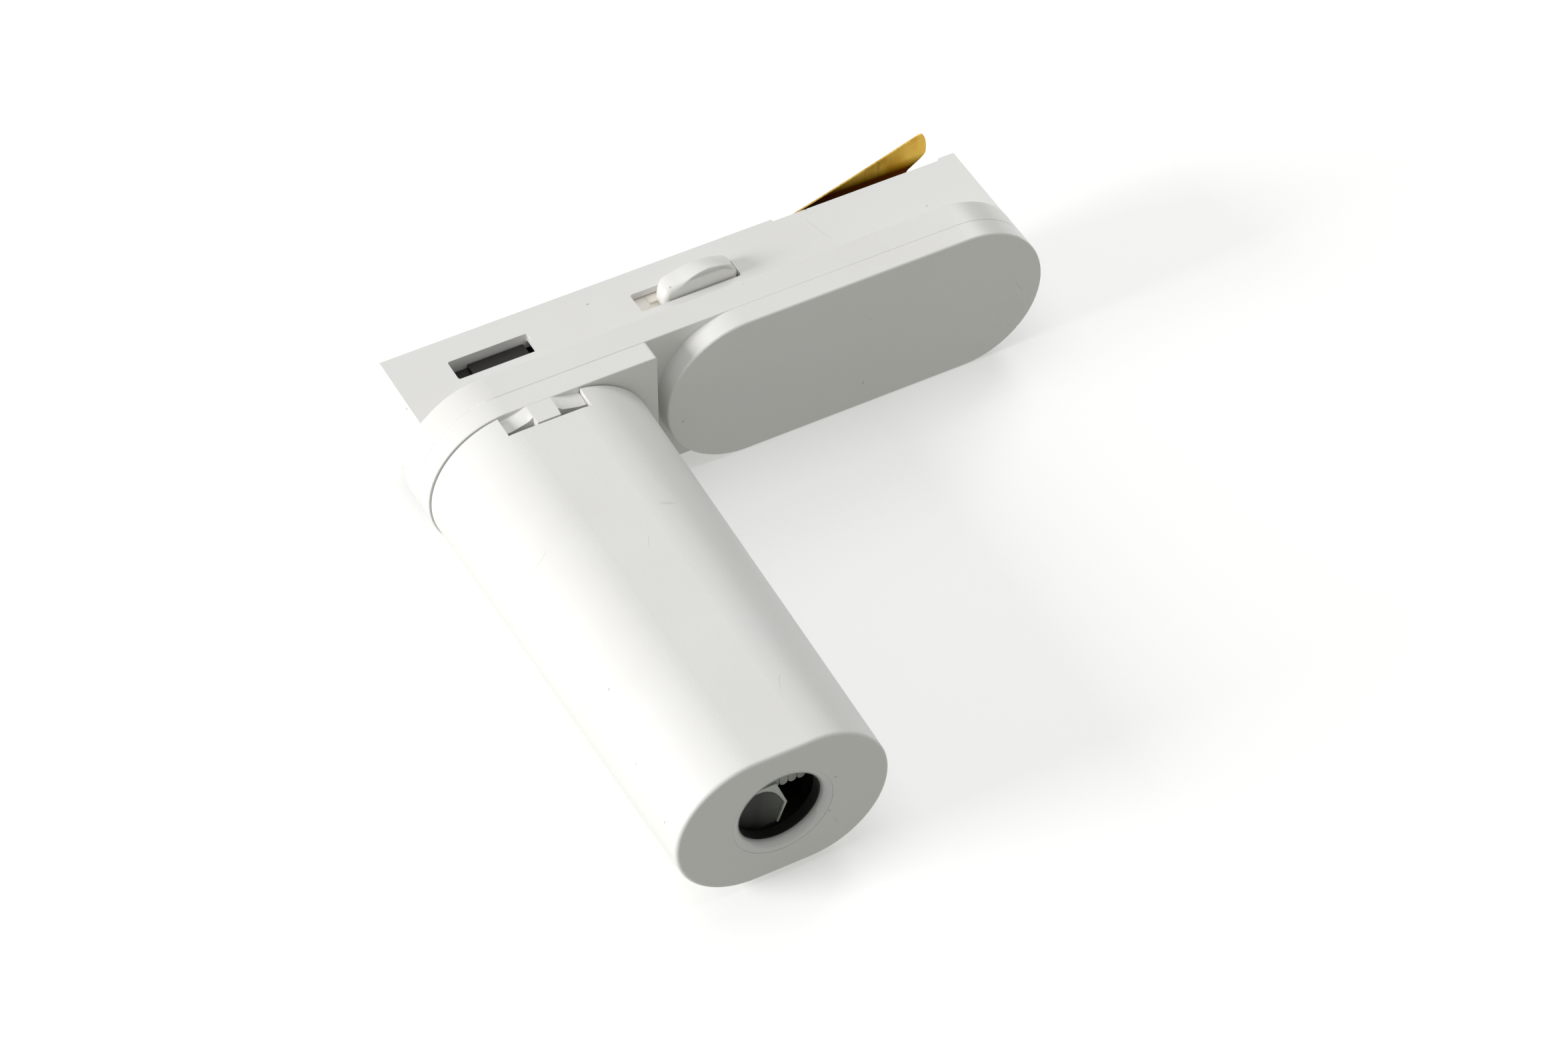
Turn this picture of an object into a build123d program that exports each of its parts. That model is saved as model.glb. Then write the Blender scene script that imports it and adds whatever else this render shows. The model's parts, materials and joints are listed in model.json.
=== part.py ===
"""Adapter for a lighting track, with an oblong cable housing, lying on its side.

+X runs along the bar, +Y points into the track, -Y along the cable housing, +Z up.
The origin is on the resting surface, under the middle of the overall box.
"""
from build123d import *
import math
import os

os.makedirs("parts", exist_ok=True)

# ---- driving dimensions, in millimetres ----
BAR_LENGTH = 141.0          # over the rounded ends
BAR_WIDTH = 36.0            # the same as the track's
MID_Z = BAR_WIDTH / 2
OVERALL_DEPTH = 144.0       # earth blade's tip to the housing's end
SEAT_Y = 42.0               # the face that closes against the track
PLATE_THICK = 1.5
EDGE_BREAK = 0.25           # softened edge of every outer shell
FLANGE_THICK = 4.9
COVER_LENGTH = 87.5
BLOCK_THICK = 5.1
BLOCK_RIGHT_X = -19.1
SKIN = 1.6                  # usual moulded wall
INSERT_SKIN = 2.0
GAP = 0.3                   # clearance between parts that come apart

INSERT_WIDTH = 21.0
INSERT_DEPTH = 20.75
INSERT_ENDS = ((-69.2, 18.0), (69.8, 22.0))     # reach and radius of each rounded end
OPENING_Y = 53.3            # middle of the window and of the thumb slot
WINDOW_X = -44.8
WINDOW_SIZE = (17.8, 5.5)
SLOT_X = (-12.5, 10.4)
SLOT_WIDTH = 5.5
SLOT_WALL = 1.6             # thickness of the wall around the thumb slot
OPENING_CORNER = 0.5
RECESS_X = (23.7, 63.4)     # shallow recess for the pressed earth blade
RECESS_DEEP = 1.0
STRIP_WIDTH = 4.1           # sloped strip along the insert's back edges
STRIP_DROP = 0.35

ARM_X = -45.6               # housing's centre line
MOUTH_SIZE = (49.0, 36.0)
END_SIZE = (45.2, 33.6)
SLEEVE_WALL = 2.0
SLEEVE_END_WALL = 2.5
NOTCH_WIDTH = 18.2
NOTCH_DEEP = 5.3
OUTLET_R = 8.6
OUTLET_LIP_R = 10.65

SCREW_R = 1.25
HEAD_R = 2.4
PIN_R = 1.5
EARTH_X = 26.0              # stud that carries the earth contact
RIVET_Z = MID_Z + 5.5
RIVET_R = 0.9
RUNNING = 0.05              # radial clearance of a turning or sliding fit

# ---- levels worked out from them ----
FLANGE_Y = SEAT_Y - PLATE_THICK
COVER_Y = FLANGE_Y - FLANGE_THICK
BLOCK_FRONT_Y = COVER_Y - BLOCK_THICK
MOUTH_Y = BLOCK_FRONT_Y - GAP
END_Y = -OVERALL_DEPTH / 2
BACK_Y = SEAT_Y + INSERT_DEPTH
INSERT_TOP = INSERT_WIDTH / 2


def facing(y, z=MID_Z):
    """Plane across the housing at y: local x is +X, local y is +Z, and its normal is -Y."""
    return Plane(origin=(0, y, z), x_dir=(1, 0, 0), z_dir=(0, -1, 0))


def save(piece, name):
    """Name a finished piece and write it."""
    piece.label = name
    export_step(piece, f"parts/{name}.step")


def oval_size(y, inset=0.0):
    """Width and height of the tapered housing's section at y, less a wall."""
    t = (MOUTH_Y - y) / (MOUTH_Y - END_Y)
    wide = MOUTH_SIZE[0] + t * (END_SIZE[0] - MOUTH_SIZE[0])
    high = MOUTH_SIZE[1] + t * (END_SIZE[1] - MOUTH_SIZE[1])
    return wide - 2 * inset, high - 2 * inset


def draw_insert(inset=0.0):
    """Draw the insert's section across +Y, less a wall."""
    middles = [reach - math.copysign(radius, reach) for reach, radius in INSERT_ENDS]
    for x, (reach, radius) in zip(middles, INSERT_ENDS):
        with Locations((x, 0)):
            Circle(radius - inset)
    with Locations((sum(middles) / 2, 0)):
        Rectangle(middles[1] - middles[0], INSERT_WIDTH)
        Rectangle(2 * BAR_LENGTH, INSERT_WIDTH - 2 * inset, mode=Mode.INTERSECT)


# ---- insert: the long housing that goes into the track ----
SCREW_XS = (-64.0, -22.0, 18.0, 64.0)
POST_R = 3.0
COLLAR_THICK = 1.4
COLLAR_DEEP = 3.0
COLLAR_INSET = 1.0
FOOT_ROOM_X = (-18.6, 11.0)
FOOT_ROOM_WIDE = 10.8
FLOOR_Y = BACK_Y - RECESS_DEEP - SKIN

with BuildPart() as insert_body:
    with BuildSketch(facing(BACK_Y)):
        draw_insert()
    extrude(amount=INSERT_DEPTH)
    # the back edges slope: first the upper one, then the lower one
    for end in (-1, 0):
        long_wall = insert_body.faces().filter_by(Plane.XY).sort_by(Axis.Z)[end]
        back_rim = insert_body.faces().sort_by(Axis.Y)[-1].edges().filter_by(Axis.X)
        chamfer(back_rim.sort_by(Axis.Z)[end], STRIP_DROP, STRIP_WIDTH, reference=long_wall)
    # hollow, open towards the seat
    with BuildSketch(facing(FLOOR_Y)):
        draw_insert(INSERT_SKIN)
    extrude(amount=FLOOR_Y - SEAT_Y, mode=Mode.SUBTRACT)
    # screw posts
    with BuildSketch(facing(FLOOR_Y)):
        with Locations(*[(x, 0) for x in SCREW_XS]):
            Circle(POST_R)
    extrude(amount=FLOOR_Y - SEAT_Y)
    with BuildSketch(facing(FLOOR_Y)):
        with Locations(*[(x, 0) for x in SCREW_XS]):
            Circle(SCREW_R)
    extrude(amount=FLOOR_Y - SEAT_Y, mode=Mode.SUBTRACT)
    # collars behind the contact windows
    with BuildSketch(facing(OPENING_Y + WINDOW_SIZE[1] / 2 + COLLAR_THICK)):
        for side in (-1, 1):
            with Locations((WINDOW_X, side * (INSERT_TOP - COLLAR_INSET - COLLAR_DEEP / 2))):
                Rectangle(WINDOW_SIZE[0] + 2 * COLLAR_THICK, COLLAR_DEEP)
    extrude(amount=COLLAR_THICK)
    # recess that the earth blade folds into
    with BuildSketch(facing(BACK_Y)):
        with Locations(((RECESS_X[0] + RECESS_X[1]) / 2, 0)):
            Rectangle(RECESS_X[1] - RECESS_X[0], INSERT_WIDTH + SKIN)
    extrude(amount=RECESS_DEEP, mode=Mode.SUBTRACT)
    # contact windows, through both long walls
    with BuildSketch(Plane.XY.offset(MID_Z - INSERT_WIDTH)):
        with Locations((WINDOW_X, OPENING_Y)):
            RectangleRounded(*WINDOW_SIZE, OPENING_CORNER)
    extrude(amount=2 * INSERT_WIDTH, mode=Mode.SUBTRACT)
    # hole for the earth stud
    with BuildSketch(facing(BACK_Y)):
        with Locations((EARTH_X, RIVET_Z - MID_Z)):
            Circle(RIVET_R)
    extrude(amount=INSERT_DEPTH, mode=Mode.SUBTRACT)
    # thumb slot, in the upper wall only, with a thinner wall around it
    with BuildSketch(Plane.XY.offset(MID_Z)):
        with Locations(((SLOT_X[0] + SLOT_X[1]) / 2, OPENING_Y)):
            RectangleRounded(SLOT_X[1] - SLOT_X[0], SLOT_WIDTH, OPENING_CORNER)
    extrude(amount=INSERT_WIDTH, mode=Mode.SUBTRACT)
    with BuildSketch(Plane.XY.offset(MID_Z + INSERT_TOP - INSERT_SKIN)):
        with Locations(((FOOT_ROOM_X[0] + FOOT_ROOM_X[1]) / 2, OPENING_Y)):
            Rectangle(FOOT_ROOM_X[1] - FOOT_ROOM_X[0], FOOT_ROOM_WIDE)
    extrude(amount=INSERT_SKIN - SLOT_WALL, mode=Mode.SUBTRACT)
save(insert_body.part, "insert_body")

# ---- seat plate and flange ----
PASSAGE = (26.0, 12.0)      # wire passage from the housing into the insert
FLANGE_RIM = 2 * SKIN
BOSS_R = POST_R + 1.0
HEAD_SINK = 1.2             # depth of the screw heads' seats

with BuildPart() as seat_plate:
    with BuildSketch(facing(SEAT_Y)):
        SlotOverall(BAR_LENGTH, BAR_WIDTH)
        with Locations((ARM_X, 0)):
            Rectangle(*PASSAGE, mode=Mode.SUBTRACT)
        with Locations(*[(x, 0) for x in SCREW_XS]):
            Circle(SCREW_R + GAP, mode=Mode.SUBTRACT)
        with Locations((EARTH_X, RIVET_Z - MID_Z)):
            Circle(RIVET_R + GAP, mode=Mode.SUBTRACT)
    extrude(amount=PLATE_THICK)
    fillet(seat_plate.faces().sort_by(Axis.Y)[-1].outer_wire().edges(), EDGE_BREAK)
save(seat_plate.part, "seat_plate")

POCKET_DEEP = FLANGE_THICK - SKIN
with BuildPart() as flange:
    with BuildSketch(facing(FLANGE_Y)):
        SlotOverall(BAR_LENGTH, BAR_WIDTH)
    extrude(amount=FLANGE_THICK)
    fillet(flange.faces().sort_by(Axis.Y)[0].outer_wire().edges(), EDGE_BREAK)
    with BuildSketch(facing(FLANGE_Y)):
        SlotOverall(BAR_LENGTH - 2 * FLANGE_RIM, BAR_WIDTH - 2 * FLANGE_RIM)
        with Locations(*[(x, 0) for x in SCREW_XS]):
            Circle(BOSS_R, mode=Mode.SUBTRACT)
    extrude(amount=POCKET_DEEP, mode=Mode.SUBTRACT)
    with BuildSketch(facing(FLANGE_Y)):
        with Locations(*[(x, 0) for x in SCREW_XS]):
            Circle(SCREW_R + GAP)
        with Locations((ARM_X, 0)):
            Rectangle(*PASSAGE)
    extrude(amount=FLANGE_THICK, mode=Mode.SUBTRACT)
    with BuildSketch(facing(COVER_Y + HEAD_SINK)):
        with Locations(*[(x, 0) for x in SCREW_XS]):
            Circle(HEAD_R + GAP)
    extrude(amount=HEAD_SINK, mode=Mode.SUBTRACT)
save(flange.part, "flange")

BODY_SCREW_LONG = 14.0
HEAD_HIGH = 1.1
DRIVE_SIZE = (2.8, 0.6)     # one bar of the cross recess
with BuildPart() as body_screws:
    with BuildSketch(facing(COVER_Y + HEAD_SINK)):
        with Locations(*[(x, 0) for x in SCREW_XS]):
            Circle(HEAD_R)
    extrude(amount=HEAD_HIGH)
    with BuildSketch(facing(COVER_Y + HEAD_SINK)):
        with Locations(*[(x, 0) for x in SCREW_XS]):
            Circle(SCREW_R)
    extrude(amount=-BODY_SCREW_LONG)
    with BuildSketch(facing(COVER_Y + HEAD_SINK - HEAD_HIGH)):
        with Locations(*[(x, 0) for x in SCREW_XS]):
            Rectangle(*DRIVE_SIZE)
            Rectangle(*DRIVE_SIZE, rotation=90)
    extrude(amount=-HEAD_HIGH / 2, mode=Mode.SUBTRACT)
save(body_screws.part, "body_screws")

# ---- side cover ----
COVER_X = (BAR_LENGTH - COVER_LENGTH) / 2
EDGE_ROUND = 0.45
with BuildPart() as side_cover:
    with BuildSketch(facing(COVER_Y)):
        with Locations((COVER_X, 0)):
            SlotOverall(COVER_LENGTH, BAR_WIDTH)
    extrude(amount=FLANGE_THICK)
    front_rim = side_cover.faces().sort_by(Axis.Y)[0].edges()
    fillet(front_rim, EDGE_ROUND)
    with BuildSketch(facing(COVER_Y)):
        with Locations((COVER_X, 0)):
            SlotOverall(COVER_LENGTH - 2 * SKIN, BAR_WIDTH - 2 * SKIN)
    extrude(amount=FLANGE_THICK - SKIN, mode=Mode.SUBTRACT)
save(side_cover.part, "side_cover")

# ---- block that the cable housing plugs onto ----
SPIGOT_LONG = 11.0
SPIGOT_WALL = 2.2
BLOCK_CORNER = 0.6
TONGUE_ROOM = 7.0           # height of the spigot's gap, enough for the pressed tongue
BLOCK_SCREW_XS = (ARM_X - 17.0, ARM_X + 17.0)
with BuildPart() as arm_block:
    with BuildSketch(facing(COVER_Y)):
        SlotOverall(BAR_LENGTH, BAR_WIDTH)
        with Locations((BLOCK_RIGHT_X - BAR_LENGTH / 2, 0)):
            Rectangle(BAR_LENGTH, BAR_WIDTH, mode=Mode.INTERSECT)
    extrude(amount=BLOCK_THICK)
    corner = arm_block.edges().filter_by(Axis.Y).sort_by(Axis.X)[-2:]
    fillet(corner, BLOCK_CORNER)
    for end in (-1, 0):
        fillet(arm_block.faces().sort_by(Axis.Y)[end].outer_wire().edges(), EDGE_BREAK)
    spigot_wide, spigot_high = oval_size(MOUTH_Y, SLEEVE_WALL + GAP)
    with BuildSketch(facing(BLOCK_FRONT_Y)):
        with Locations((ARM_X, 0)):
            SlotOverall(spigot_wide, spigot_high)
    extrude(amount=SPIGOT_LONG)
    with BuildSketch(facing(BLOCK_FRONT_Y)):
        with Locations((ARM_X, 0)):
            SlotOverall(spigot_wide - 2 * SPIGOT_WALL, spigot_high - 2 * SPIGOT_WALL)
    extrude(amount=SPIGOT_LONG, mode=Mode.SUBTRACT)
    # place for the release tongue, in the spigot's upper wall
    with BuildSketch(facing(BLOCK_FRONT_Y)):
        with Locations((ARM_X, MID_Z - SLEEVE_WALL)):
            Rectangle(NOTCH_WIDTH + GAP, TONGUE_ROOM)
    extrude(amount=SPIGOT_LONG, mode=Mode.SUBTRACT)
    with BuildSketch(facing(COVER_Y)):
        with Locations((ARM_X, 0)):
            Rectangle(*PASSAGE)
        with Locations(*[(x, 0) for x in BLOCK_SCREW_XS]):
            Circle(SCREW_R)
        with Locations((SCREW_XS[0], 0)):
            Circle(HEAD_R + GAP)
    extrude(amount=BLOCK_THICK, mode=Mode.SUBTRACT)
save(arm_block.part, "arm_block")

# ---- release tongue in the housing's notch ----
TONGUE_WIDE = NOTCH_WIDTH - 2 * GAP
TONGUE_LONG = NOTCH_DEEP - GAP
TONGUE_THICK = 2.9
BRIDGE_WIDE = 5.3           # middle of the tongue, which stays level with the housing
SCOOP_DEEP = 1.9
SCOOP_SET_BACK = 0.6
with BuildPart() as release_tongue:
    with BuildSketch(facing(BLOCK_FRONT_Y)):
        with Locations((ARM_X, MID_Z - TONGUE_THICK / 2)):
            Rectangle(TONGUE_WIDE, TONGUE_THICK)
    extrude(amount=TONGUE_LONG + GAP)
    # a scoop on each side of the bridge, deepest at the free edge
    scoop_wide = (TONGUE_WIDE - BRIDGE_WIDE) / 2
    for side in (-1, 1):
        with BuildSketch(Plane.YZ.offset(ARM_X + side * BRIDGE_WIDE / 2)):
            with BuildLine():
                Polyline(
                    (MOUTH_Y - SCOOP_SET_BACK, BAR_WIDTH),
                    (MOUTH_Y - TONGUE_LONG, BAR_WIDTH),
                    (MOUTH_Y - TONGUE_LONG, BAR_WIDTH - SCOOP_DEEP),
                    close=True,
                )
            make_face()
        extrude(amount=side * scoop_wide, mode=Mode.SUBTRACT)
save(release_tongue.part, "release_tongue")

# ---- tapered cable housing ----
END_ROUND = 0.8
with BuildPart() as arm_sleeve:
    with BuildSketch(facing(MOUTH_Y)):
        with Locations((ARM_X, 0)):
            SlotOverall(*oval_size(MOUTH_Y))
    with BuildSketch(facing(END_Y)):
        with Locations((ARM_X, 0)):
            SlotOverall(*oval_size(END_Y))
    loft()
    fillet(arm_sleeve.faces().sort_by(Axis.Y)[0].edges(), END_ROUND)
    fillet(arm_sleeve.faces().sort_by(Axis.Y)[-1].edges(), EDGE_BREAK)
    inner_end = END_Y + SLEEVE_END_WALL
    with BuildSketch(facing(MOUTH_Y)):
        with Locations((ARM_X, 0)):
            SlotOverall(*oval_size(MOUTH_Y, SLEEVE_WALL))
    with BuildSketch(facing(inner_end)):
        with Locations((ARM_X, 0)):
            SlotOverall(*oval_size(inner_end, SLEEVE_WALL))
    loft(mode=Mode.SUBTRACT)
    with BuildSketch(facing(MOUTH_Y)):
        with Locations((ARM_X, MID_Z)):
            Rectangle(NOTCH_WIDTH, 4 * SLEEVE_WALL)
    extrude(amount=NOTCH_DEEP, mode=Mode.SUBTRACT)
    with BuildSketch(facing(END_Y)):
        with Locations((ARM_X, 0)):
            Circle(OUTLET_LIP_R)
    extrude(amount=-2 * SLEEVE_END_WALL, mode=Mode.SUBTRACT)
save(arm_sleeve.part, "arm_sleeve")

# ---- outlet bush: a glossy ring with a rounded mouth ----
BUSH_LONG = 4.2
BUSH_SINK = 0.15            # depth of its face below the housing's end
BUSH_MOUTH = 2.1            # depth over which the mouth narrows to the bore
BUSH_RIM = 0.35             # flat ring around the mouth
BUSH_ROLL = (0.5, 0.85)     # the mouth's middle: outside the bore, and deep
BUSH_COLLAR = (12.6, 1.2)   # radius and thickness of the collar behind the end wall

with BuildPart() as outlet_bush:
    # drawn with local x as the radius and local y as the depth
    with BuildSketch(Plane(origin=(ARM_X, END_Y, MID_Z), x_dir=(1, 0, 0), z_dir=(0, 0, 1))):
        with BuildLine():
            rim = OUTLET_LIP_R - RUNNING
            collar_end = SLEEVE_END_WALL + BUSH_COLLAR[1]
            Polyline(
                (rim - BUSH_RIM, BUSH_SINK),
                (rim, BUSH_SINK),
                (rim, SLEEVE_END_WALL),
                (BUSH_COLLAR[0], SLEEVE_END_WALL),
                (BUSH_COLLAR[0], collar_end),
                (rim, collar_end),
                (rim, BUSH_LONG),
                (OUTLET_R, BUSH_LONG),
                (OUTLET_R, BUSH_MOUTH),
            )
            roll = (OUTLET_R + BUSH_ROLL[0], BUSH_ROLL[1])
            ThreePointArc((OUTLET_R, BUSH_MOUTH), roll, (rim - BUSH_RIM, BUSH_SINK))
        make_face()
    revolve(axis=Axis((ARM_X, 0, MID_Z), (0, 1, 0)))
save(outlet_bush.part, "outlet_bush")

# ---- chassis: the carrier inside the cable housing ----
CHASSIS_WIDE = 28.0
CHASSIS_Z = 7.5
CHASSIS_THICK = 2.0
CHASSIS_TOP = CHASSIS_Z + CHASSIS_THICK
CHASSIS_END_Y = -67.4
CHASSIS_START_Y = BLOCK_FRONT_Y
CLAMP_Z = CHASSIS_TOP + 5.0
TAB_SIZE = (38.0, 8.0)
TAB_THICK = 1.5
TAB_OPENING = (24.0, 6.0, 4.0)     # width, height at the middle, height at the leads
RIB_THICK = 1.4
RIB_HIGH = 3.0
RIB_Y = (-44.0, 18.0)
FIN_X = (-55.0, -42.3)
FIN_THICK = 1.4
FIN_HIGH = 11.3
FIN_POINT_HIGH = 4.9        # height of its point
FIN_SLOPE = (2.3, 1.9)      # how far the point stands beyond its top and its foot
GRIP_SCREW_XS = (ARM_X - 11.5, ARM_X + 11.5)
GRIP_MID_Y = -61.5

with BuildPart() as chassis:
    with BuildSketch(Plane.XY.offset(CHASSIS_Z)):
        with Locations((ARM_X, (CHASSIS_START_Y + CHASSIS_END_Y) / 2)):
            Rectangle(CHASSIS_WIDE, CHASSIS_START_Y - CHASSIS_END_Y)
        with Locations(*[(x, GRIP_MID_Y) for x in GRIP_SCREW_XS]):
            Circle(SCREW_R + RUNNING, mode=Mode.SUBTRACT)
    extrude(amount=CHASSIS_THICK)
    # stiffening ribs along both edges
    with BuildSketch(Plane.XY.offset(CHASSIS_TOP)):
        for side in (-1, 1):
            with Locations((ARM_X + side * (CHASSIS_WIDE - RIB_THICK) / 2, (RIB_Y[0] + RIB_Y[1]) / 2)):
                Rectangle(RIB_THICK, RIB_Y[1] - RIB_Y[0])
    extrude(amount=RIB_HIGH)
    # upright tab that the block screws hold, around the wire passage
    with BuildSketch(facing(CHASSIS_START_Y)):
        with Locations((ARM_X, 0)):
            Rectangle(*TAB_SIZE)
        with Locations((ARM_X, (CHASSIS_TOP - MID_Z) / 2)):
            Rectangle(PASSAGE[0], MID_Z - CHASSIS_TOP)
        with Locations((ARM_X, 0)):
            Rectangle(TAB_OPENING[0], TAB_OPENING[1], mode=Mode.SUBTRACT)
        with Locations((ARM_X, CLAMP_Z - MID_Z)):
            Rectangle(TAB_OPENING[0], TAB_OPENING[2], mode=Mode.SUBTRACT)
        with Locations(*[(x, 0) for x in BLOCK_SCREW_XS]):
            Circle(SCREW_R + RUNNING, mode=Mode.SUBTRACT)
    extrude(amount=TAB_THICK)
save(chassis.part, "chassis")

with BuildPart() as cord_guide:
    # upright plate with a pointed edge, standing on the chassis behind the outlet
    with BuildSketch(facing(CHASSIS_END_Y + FIN_THICK, 0)):
        with BuildLine():
            Polyline(
                (FIN_X[0], CHASSIS_TOP),
                (FIN_X[0], CHASSIS_TOP + FIN_HIGH),
                (FIN_X[1] - FIN_SLOPE[0], CHASSIS_TOP + FIN_HIGH),
                (FIN_X[1], CHASSIS_TOP + FIN_POINT_HIGH),
                (FIN_X[1] - FIN_SLOPE[1], CHASSIS_TOP),
                close=True,
            )
        make_face()
    extrude(amount=FIN_THICK)
save(cord_guide.part, "cord_guide")

with BuildPart() as block_screws:
    with BuildSketch(facing(CHASSIS_START_Y - TAB_THICK)):
        with Locations(*[(x, 0) for x in BLOCK_SCREW_XS]):
            Circle(HEAD_R)
    extrude(amount=HEAD_HIGH)
    with BuildSketch(facing(CHASSIS_START_Y - TAB_THICK)):
        with Locations(*[(x, 0) for x in BLOCK_SCREW_XS]):
            Circle(SCREW_R)
    extrude(amount=-BLOCK_THICK - TAB_THICK)
save(block_screws.part, "block_screws")

# ---- cord grip ----
GRIP_POST = (6.0, 8.0, 4.0) # each screw post's length, depth and height
RIDGE_SIZE = (17.0, 0.9)
RIDGE_HIGH = 0.8
RIDGE_PITCH = 2.5
TOOTH_PITCH = 1.85
JAW_TIP_Z = 17.65           # middle of each tooth's round end
JAW_BODY_Z = 19.4
JAW_SIZE = (29.0, 8.0, 4.2)
JAW_CORNER = 1.0
TOOTH_WIDE = 1.7
TOOTH_THICK = 1.4
TOOTH_ROW = 3.0             # distance of each row of teeth from the jaw's middle
GRIP_PLACES = [(x, GRIP_MID_Y) for x in GRIP_SCREW_XS]

with BuildPart() as cord_grip_base:
    with BuildSketch(Plane.XY.offset(CHASSIS_TOP)):
        with Locations(*GRIP_PLACES):
            Rectangle(GRIP_POST[0], GRIP_POST[1])
    extrude(amount=GRIP_POST[2])
    # three ridges across, joined along the middle
    with BuildSketch(Plane.XY.offset(CHASSIS_TOP)):
        for n in (-1, 0, 1):
            with Locations((ARM_X, GRIP_MID_Y + n * RIDGE_PITCH)):
                Rectangle(*RIDGE_SIZE)
        with Locations((ARM_X, GRIP_MID_Y)):
            Rectangle(RIDGE_SIZE[1], 2 * RIDGE_PITCH)
    extrude(amount=RIDGE_HIGH)
    with BuildSketch(Plane.XY.offset(CHASSIS_TOP)):
        with Locations(*GRIP_PLACES):
            Circle(SCREW_R + RUNNING)
    extrude(amount=GRIP_POST[2], mode=Mode.SUBTRACT)
save(cord_grip_base.part, "cord_grip_base")

with BuildPart() as cord_grip_jaw:
    with BuildSketch(Plane.XY.offset(JAW_BODY_Z)):
        with Locations((ARM_X, GRIP_MID_Y)):
            RectangleRounded(JAW_SIZE[0], JAW_SIZE[1], JAW_CORNER)
        with Locations(*GRIP_PLACES):
            Circle(SCREW_R, mode=Mode.SUBTRACT)
    extrude(amount=JAW_SIZE[2])
    # round-ended teeth, one row at each face
    for row in (-1, 1):
        with BuildSketch(facing(GRIP_MID_Y + row * TOOTH_ROW + TOOTH_THICK / 2, 0)):
            for n in range(-4, 5):
                with Locations((ARM_X + n * TOOTH_PITCH, (JAW_TIP_Z + JAW_BODY_Z) / 2)):
                    SlotCenterToCenter(JAW_BODY_Z - JAW_TIP_Z, TOOTH_WIDE, rotation=90)
        extrude(amount=TOOTH_THICK)
save(cord_grip_jaw.part, "cord_grip_jaw")

GRIP_SCREW_LONG = 11.3
GRIP_HEAD_HIGH = 1.4
GRIP_DRIVE = (3.4, 0.7, 0.8)        # slot's length, width and depth
JAW_FACE_Z = JAW_BODY_Z + JAW_SIZE[2]
with BuildPart() as grip_screws:
    with BuildSketch(Plane.XY.offset(JAW_FACE_Z)):
        with Locations(*GRIP_PLACES):
            Circle(HEAD_R)
    extrude(amount=GRIP_HEAD_HIGH)
    with BuildSketch(Plane.XY.offset(JAW_FACE_Z)):
        with Locations(*GRIP_PLACES):
            Circle(SCREW_R)
    extrude(amount=-GRIP_SCREW_LONG)
    with BuildSketch(Plane.XY.offset(JAW_FACE_Z + GRIP_HEAD_HIGH)):
        with Locations(*GRIP_PLACES):
            Rectangle(GRIP_DRIVE[0], GRIP_DRIVE[1])
    extrude(amount=-GRIP_DRIVE[2], mode=Mode.SUBTRACT)
save(grip_screws.part, "grip_screws")

# ---- terminal block ----
TERMINAL_LONG = 20.0
TERMINAL_BACK_Y = TERMINAL_LONG / 2
POLE_PITCH = 8.0
POLE_XS = [ARM_X + n * POLE_PITCH for n in (-1, 0, 1)]
TERMINAL_HIGH = 13.0
TERMINAL_CORNER = 0.8
WELL_R = 2.2
CLAMP_SIZE = (5.4, 5.4)
WIRE_R = 1.2
TERMINAL_SCREW_PLACES = [(x, side * 5.0) for x in POLE_XS for side in (-1, 1)]

with BuildPart() as terminal_block:
    with BuildSketch(Plane.XY.offset(CHASSIS_TOP)):
        with Locations((ARM_X, 0)):
            RectangleRounded(3 * POLE_PITCH, TERMINAL_LONG, TERMINAL_CORNER)
    extrude(amount=TERMINAL_HIGH)
    # through pockets for the clamps
    with BuildSketch(facing(TERMINAL_BACK_Y, CLAMP_Z)):
        for x in POLE_XS:
            with Locations((x, 0)):
                Rectangle(CLAMP_SIZE[0] + RUNNING, CLAMP_SIZE[1] + RUNNING)
    extrude(amount=TERMINAL_LONG, mode=Mode.SUBTRACT)
    # screw wells
    with BuildSketch(Plane.XY.offset(CHASSIS_TOP + TERMINAL_HIGH)):
        with Locations(*TERMINAL_SCREW_PLACES):
            Circle(WELL_R)
    extrude(amount=-(CHASSIS_TOP + TERMINAL_HIGH - CLAMP_Z), mode=Mode.SUBTRACT)
save(terminal_block.part, "terminal_block")

CLAMP_LONG = 17.0
CLAMP_BORE_R = 1.6
with BuildPart() as terminal_clamps:
    with BuildSketch(facing(CLAMP_LONG / 2, CLAMP_Z)):
        for x in POLE_XS:
            with Locations((x, 0)):
                Rectangle(*CLAMP_SIZE)
                Circle(CLAMP_BORE_R, mode=Mode.SUBTRACT)
    extrude(amount=CLAMP_LONG)
    with BuildSketch(Plane.XY.offset(CLAMP_Z + CLAMP_SIZE[1])):
        with Locations(*TERMINAL_SCREW_PLACES):
            Circle(SCREW_R)
    extrude(amount=-CLAMP_SIZE[1], mode=Mode.SUBTRACT)
save(terminal_clamps.part, "terminal_clamps")

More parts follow.
